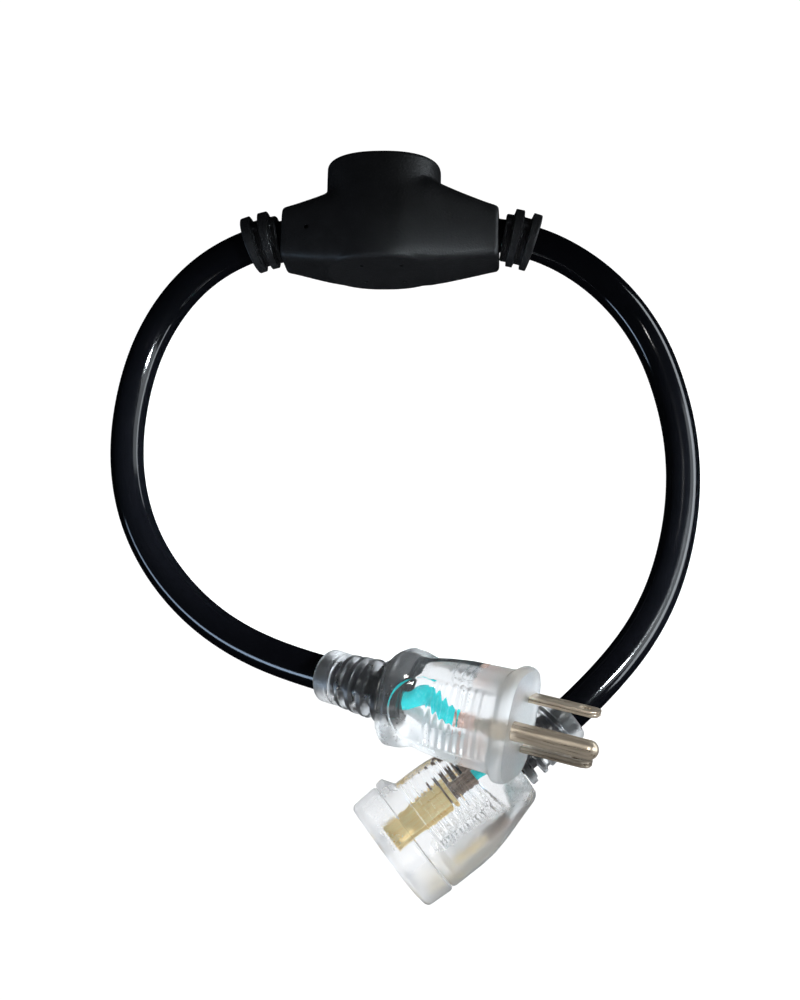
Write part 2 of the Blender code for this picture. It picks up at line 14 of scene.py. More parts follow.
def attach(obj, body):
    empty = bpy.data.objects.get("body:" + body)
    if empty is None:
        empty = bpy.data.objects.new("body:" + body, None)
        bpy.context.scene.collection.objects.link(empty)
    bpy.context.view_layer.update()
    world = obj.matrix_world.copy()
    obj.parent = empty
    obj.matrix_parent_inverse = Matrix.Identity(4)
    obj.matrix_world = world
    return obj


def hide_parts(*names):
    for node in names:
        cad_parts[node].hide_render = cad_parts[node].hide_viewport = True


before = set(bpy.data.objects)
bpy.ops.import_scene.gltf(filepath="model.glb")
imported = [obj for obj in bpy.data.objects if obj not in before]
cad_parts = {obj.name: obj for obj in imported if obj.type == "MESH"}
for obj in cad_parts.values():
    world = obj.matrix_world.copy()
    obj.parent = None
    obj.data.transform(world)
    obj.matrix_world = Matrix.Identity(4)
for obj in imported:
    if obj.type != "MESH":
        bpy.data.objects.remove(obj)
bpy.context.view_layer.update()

# ---------------------------------------------------------------- sizes, millimetres and degrees
CORD_D = 9.2
CORE_D = 3.1
BLADE_PITCH, POLE_Z, EARTH_RISE = 12.7, -4.7, 11.9
BLADE_T, BLADE_W, BLADE_OUT = 1.5, 6.35, 17.5
PIN_R, PIN_OUT = 2.4, 21.6
EARTH_Z = POLE_Z + EARTH_RISE

TAP_R, TAP_H, TAP_SHIFT = 15.5, 28.4, -1.2
TAP_FRONT, TAP_BACK = 15.2, -15.2
TAP_ARM = (-29.0, 30.5)
HOLE_PITCH, HOLE_R = (10.8, 13.0), 0.6
PLUG_LEN, PLUG_RELIEF, PLUG_JACKET = 35.0, 19.0, 30.6
CONN_LEN, CONN_CAP, CONN_RELIEF, CONN_JACKET = 40.0, 8.0, 18.0, 38.8

# thumb pads: half width, rear end, height, place of the first rib, pitch, number and height of the ribs
PLUG_PAD = (8.4, 31.0, 1.0, 7.2, 1.95, 8, 0.34)
CONN_PAD = (12.2, 38.0, 0.3, 13.2, 2.1, 8, 0.65)
NO_PAD = (7.5, 0.0, 0.0, 90.0, 1.0, 1, 0.0)

HOME = Vector((-7.94, 84.63, 0.0))
PLUG_AT, PLUG_TURN, PLUG_RISE, PLUG_ROLL = (37.8, -140.9, 39.6), -14.5, 13.5, 19.0
CONN_AT, CONN_TURN, CONN_RISE, CONN_ROLL = (3.9, -172.6, 15.5), 218.5, 0.0, 16.0

ROUTE_PLUG = [
    (-15.6, -3.4, 14.2), (-29.0, -4.2, 14.0), (-41.0, -7.3, 12.6), (-52.0, -12.9, 9.8),
    (-61.3, -21.8, 6.8), (-68.0, -34.1, 5.2), (-71.6, -48.6, 4.8), (-72.4, -62.6, 4.8),
    (-70.4, -76.4, 4.8), (-65.2, -89.6, 4.9), (-57.2, -101.0, 5.8), (-47.2, -110.4, 8.4),
    (-36.4, -117.4, 12.4), (-25.0, -122.6, 17.5), (-13.4, -126.7, 23.2)]
ROUTE_CONN = [
    (14.4, -3.4, 14.2), (30.5, -4.2, 14.0), (42.5, -7.0, 12.6), (53.6, -12.3, 10.0),
    (63.6, -20.4, 7.0), (71.8, -31.9, 5.2), (77.2, -46.0, 4.8), (80.0, -60.0, 4.8),
    (80.4, -74.4, 4.8), (78.4, -88.6, 5.1), (74.2, -102.2, 6.4), (67.8, -114.4, 8.9),
    (59.2, -125.6, 12.2)]


# ---------------------------------------------------------------- places
def placing(at, turn, rise, roll):
    return (Matrix.Translation(Vector(at)) @ Matrix.Rotation(math.radians(turn), 4, "Z")
            @ Matrix.Rotation(math.radians(-rise), 4, "Y") @ Matrix.Rotation(math.radians(roll), 4, "X"))


METRES = Matrix.Scale(0.001, 4) @ Matrix.Translation(HOME)
TAP_M = Matrix.Identity(4)
PLUG_M = placing(PLUG_AT, PLUG_TURN, PLUG_RISE, PLUG_ROLL)
CONN_M = placing(CONN_AT, CONN_TURN, CONN_RISE, CONN_ROLL)
SOCKET_M = Matrix.Translation((TAP_SHIFT, TAP_FRONT, TAP_H / 2)) @ Matrix.Rotation(math.pi / 2, 4, "Z")


# ---------------------------------------------------------------- materials
STREAK_STRETCH = 18.0


def shader_of(name, colour, rough, metal=0.0):
    mat = bpy.data.materials.new(name)
    mat.use_nodes = True
    tree = mat.node_tree
    bsdf = tree.nodes["Principled BSDF"]
    bsdf.inputs["Base Color"].default_value = (*colour, 1)
    bsdf.inputs["Roughness"].default_value = rough
    bsdf.inputs["Metallic"].default_value = metal
    return mat, tree, bsdf


def speckle(tree, scale, detail=3.0, rough=0.55, along=None):
    """Noise in object space; scale is in features per metre, drawn out along the x of a device if asked."""
    place = tree.nodes.new("ShaderNodeTexCoord")
    grain = tree.nodes.new("ShaderNodeTexNoise")
    grain.inputs["Scale"].default_value = scale
    grain.inputs["Detail"].default_value = detail
    grain.inputs["Roughness"].default_value = rough
    source = place.outputs["Object"]
    if along:
        turn = tree.nodes.new("ShaderNodeMapping")
        turn.vector_type = "TEXTURE"
        turn.inputs["Rotation"].default_value = along.to_3x3().to_euler("XYZ")
        turn.inputs["Scale"].default_value = (STREAK_STRETCH, 1.0, 1.0)
        tree.links.new(source, turn.inputs["Vector"])
        source = turn.outputs["Vector"]
    tree.links.new(source, grain.inputs["Vector"])
    return grain.outputs["Fac"]


def ramp(tree, fac, low, high, start=0.3, stop=0.7):
    """A straight change from `low` to `high` while the value goes from `start` to `stop`."""
    node = tree.nodes.new("ShaderNodeMapRange")
    node.inputs["From Min"].default_value = start
    node.inputs["From Max"].default_value = stop
    node.inputs["To Min"].default_value = low
    node.inputs["To Max"].default_value = high
    tree.links.new(fac, node.inputs["Value"])
    return node.outputs["Result"]


def bumped(tree, bsdf, fac, strength, depth):
    bump = tree.nodes.new("ShaderNodeBump")
    bump.inputs["Strength"].default_value = strength
    bump.inputs["Distance"].default_value = depth
    tree.links.new(fac, bump.inputs["Height"])
    tree.links.new(bump.outputs["Normal"], bsdf.inputs["Normal"])


def tinted(tree, bsdf, fac, dark, light):
    mix = tree.nodes.new("ShaderNodeMix")
    mix.data_type = "RGBA"
    mix.inputs["A"].default_value = (*dark, 1)
    mix.inputs["B"].default_value = (*light, 1)
    tree.links.new(fac, mix.inputs["Factor"])
    tree.links.new(mix.outputs["Result"], bsdf.inputs["Base Color"])


def grained_black():
    """Spark-eroded black vinyl of the T socket: fine pebble grain, satin, a little uneven."""
    mat, tree, bsdf = shader_of("grained_black", (0.006, 0.0062, 0.007), 0.5)
    fine, broad = speckle(tree, 1900, 3.0, 0.6), speckle(tree, 160, 2.0)
    tinted(tree, bsdf, broad, (0.004, 0.0042, 0.0048), (0.006, 0.0062, 0.007))
    tree.links.new(ramp(tree, broad, 0.40, 0.50), bsdf.inputs["Roughness"])
    bumped(tree, bsdf, fine, 0.8, 0.0002)
    return mat


def smooth_black():
    """Extruded jacket: smoother than the moulding, with faint lines along it."""
    mat, tree, bsdf = shader_of("smooth_black", (0.0012, 0.0013, 0.0018), 0.08)
    fine, broad = speckle(tree, 1400, 3.0), speckle(tree, 90, 2.0)
    tinted(tree, bsdf, broad, (0.0009, 0.001, 0.0014), (0.0016, 0.0017, 0.0023))
    tree.links.new(ramp(tree, broad, 0.07, 0.10), bsdf.inputs["Roughness"])
    bumped(tree, bsdf, fine, 0.2, 0.00004)
    return mat


def fade(tree, value, start, stop, low, high):
    """The same change, but eased at both ends."""
    node = tree.nodes.new("ShaderNodeMapRange")
    node.interpolation_type = "SMOOTHSTEP"
    for name, number in (("From Min", start), ("From Max", stop), ("To Min", low), ("To Max", high)):
        node.inputs[name].default_value = number
    tree.links.new(value, node.inputs["Value"])
    return node.outputs["Result"]


def worked(tree, how, a, b=0.0):
    """A Math node on two values, each a number or another node's output."""
    node = tree.nodes.new("ShaderNodeMath")
    node.operation = how
    for socket, value in zip(node.inputs, (a, b)):
        if isinstance(value, float):
            socket.default_value = value
        else:
            tree.links.new(value, socket)
    return node.outputs["Value"]


def device_axes(tree, matrix):
    """Millimetres along, away from the middle, up and across a device, from the piece's own coordinates."""
    place = tree.nodes.new("ShaderNodeTexCoord")
    turn = tree.nodes.new("ShaderNodeMapping")
    turn.vector_type = "TEXTURE"
    whole = METRES @ matrix
    turn.inputs["Location"].default_value = whole.translation
    turn.inputs["Rotation"].default_value = whole.to_3x3().normalized().to_euler("XYZ")
    turn.inputs["Scale"].default_value = (0.001, 0.001, 0.001)
    tree.links.new(place.outputs["Object"], turn.inputs["Vector"])
    split = tree.nodes.new("ShaderNodeSeparateXYZ")
    tree.links.new(turn.outputs["Vector"], split.inputs["Vector"])
    return (split.outputs["X"], worked(tree, "ABSOLUTE", split.outputs["Y"]), split.outputs["Z"],
            split.outputs["Y"])


def clear_vinyl(name, matrix, frosted, milk=0.975, clearest=0.04, tint=(0.93, 0.95, 0.975)):
    """Clear soft vinyl: polished where the cavity was polished, spark-frosted in the zones of `frosted`.

    Each zone is (axis, from, to, how much): it fades in along one axis of the device.
    """
    mat, tree, bsdf = shader_of(name, tint, 0.08)
    bsdf.inputs["Transmission Weight"].default_value = milk
    bsdf.inputs["IOR"].default_value = 1.53
    fine, broad = speckle(tree, 1500, 3.0), speckle(tree, 260, 2.0)
    axes = device_axes(tree, matrix)
    frost = None
    for axis, start, stop, amount in frosted:
        zone = fade(tree, axes[axis], start, stop, 0.0, amount)
        frost = zone if frost is None else worked(tree, "MAXIMUM", frost, zone)
    patchy = ramp(tree, broad, clearest, clearest + 0.09)
    if frost is not None:
        patchy = worked(tree, "ADD", patchy, worked(tree, "MULTIPLY", frost, ramp(tree, fine, 0.75, 1.25)))
    tree.links.new(patchy, bsdf.inputs["Roughness"])
    bumped(tree, bsdf, fine, 0.3, 0.00008)
    return mat


def plated(name, dark, light, rough, along, metal):
    """Drawn metal, some of it plated: colour and shine run in lines along it."""
    mat, tree, bsdf = shader_of(name, light, rough, metal)
    lines = speckle(tree, 1100, 3.0, 0.6, along)
    tinted(tree, bsdf, ramp(tree, lines, 0.0, 1.0), dark, light)
    tree.links.new(ramp(tree, lines, rough * 0.8, rough * 1.3), bsdf.inputs["Roughness"])
    bumped(tree, bsdf, lines, 0.15, 0.00005)
    return mat


def core_skin(name, colour, rough=0.3):
    """Coloured insulation of a core, a little uneven."""
    mat, tree, bsdf = shader_of(name, colour, rough)
    fine = speckle(tree, 700, 2.0)
    tinted(tree, bsdf, fine, tuple(c * 0.85 for c in colour), tuple(min(1.0, c * 1.1) for c in colour))
    tree.links.new(ramp(tree, fine, rough * 0.8, rough * 1.2), bsdf.inputs["Roughness"])
    bumped(tree, bsdf, fine, 0.1, 0.00005)
    return mat


LOOK = {
    "tap": grained_black(), "jacket": smooth_black(),
    "plug": clear_vinyl("clear_vinyl_plug", PLUG_M, ((0, -13.5, -8.0, 0.42), (1, 8.5, 11.5, 0.06),
                                                      (0, -27.0, -31.0, 0.14), (3, -0.5, -4.0, 0.22)),
                        tint=(0.89, 0.92, 0.945)),
    "conn": clear_vinyl("clear_vinyl_connector", CONN_M, ((1, 9.4, 12.4, 0.40), (0, -9.5, -7.0, 0.16),
                                                          (0, -4.0, -1.5, 0.30), (0, -30.0, -34.0, 0.20)),
                        tint=(0.91, 0.925, 0.945)),
    "frost": clear_vinyl("frosted_vinyl", PLUG_M, (), 1.0, 0.26, (0.88, 0.91, 0.94)),
    "nickel": plated("plated_nickel", (0.30, 0.24, 0.18), (0.60, 0.51, 0.40), 0.30, PLUG_M, 0.75),
    "dull": plated("dull_tin", (0.13, 0.09, 0.07), (0.34, 0.26, 0.21), 0.38, CONN_M, 0.8),
    "brass": plated("bright_brass", (0.96, 0.68, 0.27), (1.0, 0.87, 0.50), 0.32, CONN_M, 0.15),
    "copper": plated("bare_copper", (0.70, 0.42, 0.33), (0.92, 0.68, 0.58), 0.3, PLUG_M, 0.6),
    "black": core_skin("core_black", (0.01, 0.01, 0.012)),
    "white": core_skin("core_white", (0.78, 0.79, 0.78)),
    "green": core_skin("core_green", (0.0, 0.93, 0.98), 0.25),
}


# ---------------------------------------------------------------- mesh helpers
def make(name, verts, faces):
    mesh = bpy.data.meshes.new(name)
    mesh.from_pydata([tuple(v) for v in verts], [], faces)
    obj = bpy.data.objects.new(name, mesh)
    bpy.context.scene.collection.objects.link(obj)
    bm = bmesh.new()
    bm.from_mesh(mesh)
    bmesh.ops.recalc_face_normals(bm, faces=bm.faces)
    bm.to_mesh(mesh)
    bm.free()
    return obj


def skin(name, rings):
    """A closed body through rings of equal count, capped at both ends."""
    n = len(rings[0])
    verts = [v for ring in rings for v in ring]
    faces = [list(range(n))[::-1], list(range(len(verts) - n, len(verts)))]
    for k in range(len(rings) - 1):
        for i in range(n):
            j = (i + 1) % n
            faces.append([k * n + i, k * n + j, (k + 1) * n + j, (k + 1) * n + i])
    return make(name, verts, faces)


def box(name, lo, hi):
    (x0, y0, z0), (x1, y1, z1) = lo, hi
    verts = [(x, y, z) for x in (x0, x1) for y in (y0, y1) for z in (z0, z1)]
    faces = [[0, 1, 3, 2], [4, 6, 7, 5], [0, 4, 5, 1], [2, 3, 7, 6], [0, 2, 6, 4], [1, 5, 7, 3]]
    return make(name, verts, faces)


def circle(x, r, count, at=(0.0, 0.0)):
    turns = [math.tau * i / count for i in range(count)]
    return [Vector((x, at[0] + r * math.cos(a), at[1] + r * math.sin(a))) for a in turns]


def turned(name, profile, at=(0.0, 0.0), count=64):
    return skin(name, [circle(x, r, count, at) for x, r in profile])


def applied(obj):
    """The object with its modifiers worked into its mesh."""
    graph = bpy.context.evaluated_depsgraph_get()
    mesh = bpy.data.meshes.new_from_object(obj.evaluated_get(graph))
    obj.modifiers.clear()
    old, obj.data = obj.data, mesh
    bpy.data.meshes.remove(old)
    return obj


def combine(obj, others, how):
    for other in others:
        mod = obj.modifiers.new("b", "BOOLEAN")
        mod.operation, mod.solver, mod.object = how, "EXACT", other
        applied(obj)
        bpy.data.objects.remove(other, do_unlink=True)
    return obj


def rounded(obj, width, segments=3, angle=35.0):
    mod = obj.modifiers.new("r", "BEVEL")
    mod.width, mod.segments, mod.limit_method = width, segments, "ANGLE"
    mod.angle_limit = math.radians(angle)
    return applied(obj)


def smoothed(obj, rounds, group=""):
    mod = obj.modifiers.new("s", "SMOOTH")
    mod.factor, mod.iterations, mod.vertex_group = 0.5, rounds, group
    return applied(obj)


def melted(obj, voxel, rounds):
    """One even skin with soft inner and outer corners."""
    mod = obj.modifiers.new("m", "REMESH")
    mod.mode, mod.voxel_size, mod.use_smooth_shade = "VOXEL", voxel, True
    return smoothed(applied(obj), rounds)


def finished(obj, matrix, look, nodes, angle=40.0):
    """Into the row frame in metres, with its material, body and the CAD nodes that it stands for."""
    obj.data.transform(METRES @ matrix)
    obj.data.materials.clear()
    obj.data.materials.append(LOOK[look])
    obj.data.shade_smooth()
    obj.data.set_sharp_from_angle(angle=math.radians(angle))
    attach(obj, "root")
    if nodes:
        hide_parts(*nodes)
    return obj


# ---------------------------------------------------------------- curves
def through(points, step):
    """Points about every `step` along the natural cubic spline through the given ones."""
    pts = np.array([tuple(p) for p in points])
    h = np.linalg.norm(np.diff(pts, axis=0), axis=1)
    knot = np.concatenate([[0.0], np.cumsum(h)])
    n = len(pts)
    system, right = np.eye(n), np.zeros((n, 3))
    for i in range(1, n - 1):
        system[i, i - 1:i + 2] = h[i - 1], 2 * (h[i - 1] + h[i]), h[i]
        right[i] = 6 * ((pts[i + 1] - pts[i]) / h[i] - (pts[i] - pts[i - 1]) / h[i - 1])
    bow = np.linalg.solve(system, right)
    out = []
    for t in np.linspace(0.0, knot[-1], max(2, round(knot[-1] / step)) + 1):
        i = min(int(np.searchsorted(knot, t, side="right")) - 1, n - 2)
        u, v = knot[i + 1] - t, t - knot[i]
        out.append(Vector(bow[i] * u ** 3 / (6 * h[i]) + bow[i + 1] * v ** 3 / (6 * h[i])
                          + (pts[i] / h[i] - bow[i] * h[i] / 6) * u
                          + (pts[i + 1] / h[i] - bow[i + 1] * h[i] / 6) * v))
    return out


def stretch(points, start, length, step=0.5):
    """The run of a spline that begins at `start` and is `length` long, in even steps."""
    pts = through(points, 0.25)
    run, out, want = 0.0, [], start
    for p, q in zip(pts, pts[1:]):
        span = (q - p).length
        while want <= run + span and want <= start + length:
            out.append(p.lerp(q, (want - run) / span))
            want += step
        run += span
    return out


def frames(points):
    """Each point of a path with its direction, its level side and its upper side."""
    out = []
    for i, p in enumerate(points):
        t = (points[min(i + 1, len(points) - 1)] - points[max(i - 1, 0)]).normalized()
        side = Vector((0, 0, 1)).cross(t).normalized()
        out.append((p, t, side, t.cross(side)))
    return out


def bend(obj, points, step=0.5):
    """Lay a body built along +x, from x = 0, onto a finely sampled path."""
    rows = frames(points)
    last = len(rows) - 2
    for v in obj.data.vertices:
        k = max(0, min(int(v.co.x / step), last))
        f = v.co.x / step - k
        p, side, up = (rows[k][j].lerp(rows[k + 1][j], f) for j in (0, 2, 3))
        v.co = p + side.normalized() * v.co.y + up.normalized() * v.co.z
    return obj


def wire(name, points, radius, count=32, step=0.5, wide=1.0):
    """A round bar along a spline; `wide` draws it out to its level side."""
    turns = [math.tau * i / count for i in range(count)]
    rings = [[p + (side * wide * math.cos(a) + up * math.sin(a)) * radius for a in turns]
             for p, _, side, up in frames(through(points, step))]
    return skin(name, rings)


def route(points, matrix, ends):
    """A cord's points, then the places on a device's axis that lie `ends` behind its face."""
    return [Vector(p) for p in points] + [matrix @ Vector((-s, 0, 0)) for s in ends]


def length_of(points):
    return sum((q - p).length for p, q in zip(points, points[1:]))


# ---------------------------------------------------------------- camera
def camera():
    """High over the loop, leaning a little from the near side and from the right."""
    data = bpy.data.cameras.new("camera")
    data.sensor_fit, data.sensor_height, data.lens = "VERTICAL", 36.0, 65.1
    obj = bpy.data.objects.new("camera", data)
    bpy.context.scene.collection.objects.link(obj)
    right = Vector((0.9970, 0.0197, -0.0744))
    back = Vector((0.0768, -0.2122, 0.9742))
    up = back.cross(right).normalized()
    right = up.cross(back).normalized()
    turn = Matrix((right, up, back.normalized())).transposed().to_4x4()
    obj.matrix_world = Matrix.Translation((HOME + Vector((41.8, -181.5, 485.5))) * 0.001) @ turn
    bpy.context.scene.camera = obj


camera()

# ---------------------------------------------------------------- cords
PLUG_ROUTE = route(ROUTE_PLUG, PLUG_M, (PLUG_LEN + 4.0, PLUG_JACKET))
CONN_ROUTE = route(ROUTE_CONN, CONN_M, (CONN_LEN + 9.0, CONN_JACKET))


def jacket(name, node, points):
    curve = bpy.data.curves.new(name, "CURVE")
    curve.dimensions = "3D"
    curve.bevel_depth = CORD_D / 2 * 0.001
    curve.bevel_resolution = 14
    curve.use_fill_caps = True
    pts = through(points, 1.0)
    spline = curve.splines.new("POLY")
    spline.points.add(len(pts) - 1)
    for slot, p in zip(spline.points, pts):
        slot.co = (*((p + HOME) * 0.001), 1)
    spline.use_smooth = True
    curve.materials.append(LOOK["jacket"])
    obj = bpy.data.objects.new(name, curve)
    bpy.context.scene.collection.objects.link(obj)
    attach(obj, "root")
    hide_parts(node)
    return obj, length_of(pts) * 0.001


JACKET_A, LENGTH_A = jacket("jacket_plug_side", "cord_plug_side", PLUG_ROUTE)
JACKET_B, LENGTH_B = jacket("jacket_connector_side", "cord_connector_side", CONN_ROUTE)


# ---------------------------------------------------------------- moulded bodies
def clamp(x):
    return min(1.0, max(0.0, x))


def step_up(d, width):
    """A soft step from 0 to 1 that is `width` wide, with its middle at 0."""
    t = np.clip(d / width + 0.5, 0.0, 1.0)
    return t * t * (3 - 2 * t)


def eased(rows, length, soft, step):
    """Half width, up and down along a device, with every corner of the table rounded by `soft`."""
    fine = 0.05
    s = np.arange(-3.0, length + 3.0, fine)
    kernel = np.exp(-0.5 * (np.arange(-3 * soft, 3 * soft + fine, fine) / soft) ** 2)
    kernel /= kernel.sum()
    at = [r[0] for r in rows]
    out = []
    for k in (1, 2, 3):
        flat = np.interp(s, at, [r[k] for r in rows])
        out.append(np.convolve(np.pad(flat, len(kernel) // 2, mode="edge"), kernel, "valid")[:len(s)])
    want = np.arange(rows[0][0], length + 1e-6, step)
    return want, [np.interp(want, s, column) for column in out]


def outline(half, up, down, power, top, count):
    """A superellipse with different heights above and below, in even steps along its own length."""
    a = np.linspace(0.0, math.tau, 1441)
    c, s = np.cos(a), np.sin(a)
    power = np.where(s > 0, top, power)
    y = half * np.sign(c) * np.abs(c) ** (2 / power)
    z = np.where(s > 0, up, down) * np.sign(s) * np.abs(s) ** (2 / power)
    run = np.concatenate([[0.0], np.cumsum(np.hypot(np.diff(y), np.diff(z)))])
    want = np.linspace(0.0, run[-1], count + 1)[:-1]
    return np.interp(want, run, y), np.interp(want, run, z)


def moulding(name, rows, power, pad, top=None, soft=0.45, step=0.25, slim=0.0, brow=(0.35, 0.4)):
    """Grip body back from its face: a raised thumb pad with a round rear end and ribs, above and below.

    rows: place, half width, height above and height below the axis; power and top: how square it is.
    A slim one is narrower on its earth side, behind its flange. brow says from which part of the height
    the pad rises out of the sides, and over how much.
    """
    count = 184
    length = rows[-1][0]
    places, (half, up, down) = eased(rows, length, soft, step)
    pad_half, pad_end, height, first, pitch, number, deep = pad
    rings = []
    for s, w, u, d in zip(places, half, up, down):
        y, z = outline(w, u, d, power, top or power, count)
        near = np.hypot(max(0.0, s - (pad_end - pad_half)), y)
        mask = step_up(pad_half - near, 0.9) * step_up(s - 5.0, 2.5)
        mask = mask * np.clip((np.abs(z) / np.where(z > 0, u, d) - brow[0]) / brow[1], 0.0, 1.0)
        dome = height * (1.0 - 0.35 * (y / pad_half) ** 2)
        rib = 0.0
        if first - pitch / 2 < s < first + (number - 0.5) * pitch:
            phase = (s - first) / pitch
            wave = 0.5 + 0.5 * math.cos(math.tau * phase)
            rib = deep * (wave ** 1.2) * step_up(pad_half + 0.7 - np.abs(y), 1.2)
        z = z + np.sign(z) * mask * (dome + rib)
        y = y * (1 - slim * clamp((s - 10.5) / 2) * clamp((38.0 - s) / 6) * np.clip((z + 3.0) / 14, 0.0, 1.0))
        rings.append([Vector((-s, a, b)) for a, b in zip(y, z)])
    return skin(name, rings)


def face_cut(obj, x0, x1):
    """The two blade slots and the earth hole."""
    slack = 0.3
    t, w = BLADE_T / 2 + slack, BLADE_W / 2 + slack
    cuts = [box("slot", (x0, s * BLADE_PITCH / 2 - t, POLE_Z - w), (x1, s * BLADE_PITCH / 2 + t, POLE_Z + w))
            for s in (-1, 1)]
    cuts.append(turned("round", [(x0, PIN_R + slack), (x1, PIN_R + slack)], (0, EARTH_Z), 48))
    return combine(obj, cuts, "DIFFERENCE")


# ---------------------------------------------------------------- T socket
def drum_ring(y, inset, count=144):
    ring = []
    for i in range(count):
        a = math.tau * i / count
        x = (TAP_R - inset) * math.cos(a)
        z = min(max(TAP_H / 2 + (TAP_R - inset) * math.sin(a), inset), TAP_H - inset)
        ring.append(Vector((TAP_SHIFT + x, y, z)))
    return ring


def squared(angle, half, power):
    """How far a superellipse reaches along one axis, from the cosine or sine of its angle."""
    return half * math.copysign(abs(angle) ** (2 / power), angle)


def tower_ring(y, inset, count=144):
    """Round outline with a softly flattened crown and foot."""
    half, height, power = 15.75 - inset, 14.4 - inset, 2.3
    ring = []
    for i in range(count):
        a = math.tau * i / count
        ring.append(Vector((TAP_SHIFT - 0.3 + squared(math.cos(a), half, power), y,
                            14.45 + squared(math.sin(a), height, power))))
    return ring


def arm_ring(x, y0, y1, z0, z1, count=160):
    """Squarer towards the back face, rounder towards the mouth."""
    ring = []
    for i in range(count):
        a = math.tau * i / count
        c, s = math.cos(a), math.sin(a)
        power = 9.0 if c < 0 else 4.2
        ring.append(Vector((x, (y0 + y1) / 2 + squared(c, (y1 - y0) / 2, power),
                            (z0 + z1) / 2 + squared(s, (z1 - z0) / 2, power))))
    return ring


def joined(name, objs):
    bm = bmesh.new()
    for obj in objs:
        bm.from_mesh(obj.data)
        bpy.data.objects.remove(obj, do_unlink=True)
    mesh = bpy.data.meshes.new(name)
    bm.to_mesh(mesh)
    bm.free()
    obj = bpy.data.objects.new(name, mesh)
    bpy.context.scene.collection.objects.link(obj)
    return obj


def tap_shell():
    """The T body: drum and arms melted into one skin, with its soft hollows, chamber, holes and dimple."""
    f, b = TAP_FRONT, TAP_BACK
    drum = skin("drum", [tower_ring(b, 0.9), tower_ring(b + 0.3, 0.3), tower_ring(b + 1.0, 0.0),
                         tower_ring(f - 0.8, 0.0), tower_ring(f - 0.2, 0.3), tower_ring(f, 0.9)])
    left, right = TAP_ARM
    rows = [arm_ring(*row) for row in (
        (left, -11.9, 2.3, 6.9, 21.5), (left + 0.5, -12.6, 2.8, 6.4, 22.0), (-24.5, -13.4, 3.9, 5.2, 23.2),
        (-20.0, -14.2, 5.1, 3.9, 24.5), (-16.5, -14.8, 6.2, 3.0, 25.4), (-13.0, -15.2, 7.4, 2.0, 26.4),
        (-5.6, -15.2, 10.4, 0.1, 28.5), (-4.6, -15.2, 10.8, 0.0, 28.7), (4.0, -15.2, 11.0, 0.0, 28.7),
        (5.0, -15.2, 11.0, 0.1, 28.5), (11.5, -15.2, 9.9, 1.6, 26.9), (15.5, -14.8, 8.2, 2.7, 25.8),
        (20.0, -14.2, 6.4, 3.9, 24.6), (25.5, -13.4, 4.4, 5.2, 23.2),
        (right - 0.5, -12.6, 2.8, 6.4, 22.0), (right, -11.9, 2.3, 6.9, 21.5))]
    shell = melted(joined("tap_shell", [drum, skin("arms", rows)]), 0.36, 3)
    group = shell.vertex_groups.new(name="soft")
    for v in shell.data.vertices:
        x, y, _ = v.co
        weight = clamp((y + 14.2) / 2.5) * clamp((9.5 - y) / 3.0) * clamp((28.5 - abs(x - 0.75)) / 3.0)
        if weight > 0.01:
            group.add([v.index], weight, "REPLACE")
    smoothed(shell, 120, "soft")
    cuts = [skin("chamber", [drum_ring(-6.0, 3.0), drum_ring(f + 2, 3.0)])]
    for sx in (-1, 1):
        for sz in (-1, 1):
            hole = turned("hole", [(b - 1, HOLE_R), (b + 1.8, HOLE_R)], count=24)
            hole.data.transform(Matrix.Translation((TAP_SHIFT + sx * HOLE_PITCH[0] / 2, 0,
                                                    TAP_H / 2 + sz * HOLE_PITCH[1] / 2))
                                @ Matrix.Rotation(math.pi / 2, 4, "Z"))
            cuts.append(hole)
    dimple = turned("dimple", [(0.0, 0.3), (0.25, 0.62), (3.0, 0.8)], count=24)
    dimple.data.transform(Matrix.Translation((-21.7, -4.9, 22.9)) @ Matrix.Rotation(-math.pi / 2, 4, "Y"))
    cuts.append(dimple)
    combine(shell, [joined("cuts", cuts)], "DIFFERENCE")
    return finished(shell, TAP_M, "tap", ["tap_housing"], 50)


def tap_face():
    """Face of the socket with funnelled slots, set back a little inside the rim."""
    rings = []
    for y, inset in ((8.0, 3.3), (14.3, 3.3), (14.75, 3.45), (14.9, 3.9)):
        rings.append([Vector((p.y - TAP_FRONT, -(p.x - TAP_SHIFT), p.z - TAP_H / 2))
                      for p in drum_ring(y, inset)])
    obj = skin("tap_face", rings)
    face_cut(obj, -10, 1)
    funnels = []
    for s in (-1, 1):
        loop = []
        for x, more in ((-1.0, 0.0), (0.0, 0.75)):
            t, w = BLADE_T / 2 + 0.28 + more, BLADE_W / 2 + 0.28 + more
            y = s * BLADE_PITCH / 2
            loop.append([Vector((x, y + a, POLE_Z + c)) for a, c in ((-t, -w), (t, -w), (t, w), (-t, w))])
        funnels.append(skin("funnel", loop))
    funnels.append(turned("funnel", [(-1.0, PIN_R + 0.28), (0.0, PIN_R + 1.0)], (0, EARTH_Z), 48))
    combine(obj, funnels, "DIFFERENCE")
    return finished(obj, SOCKET_M, "tap", ["tap_socket_plate"], 30)


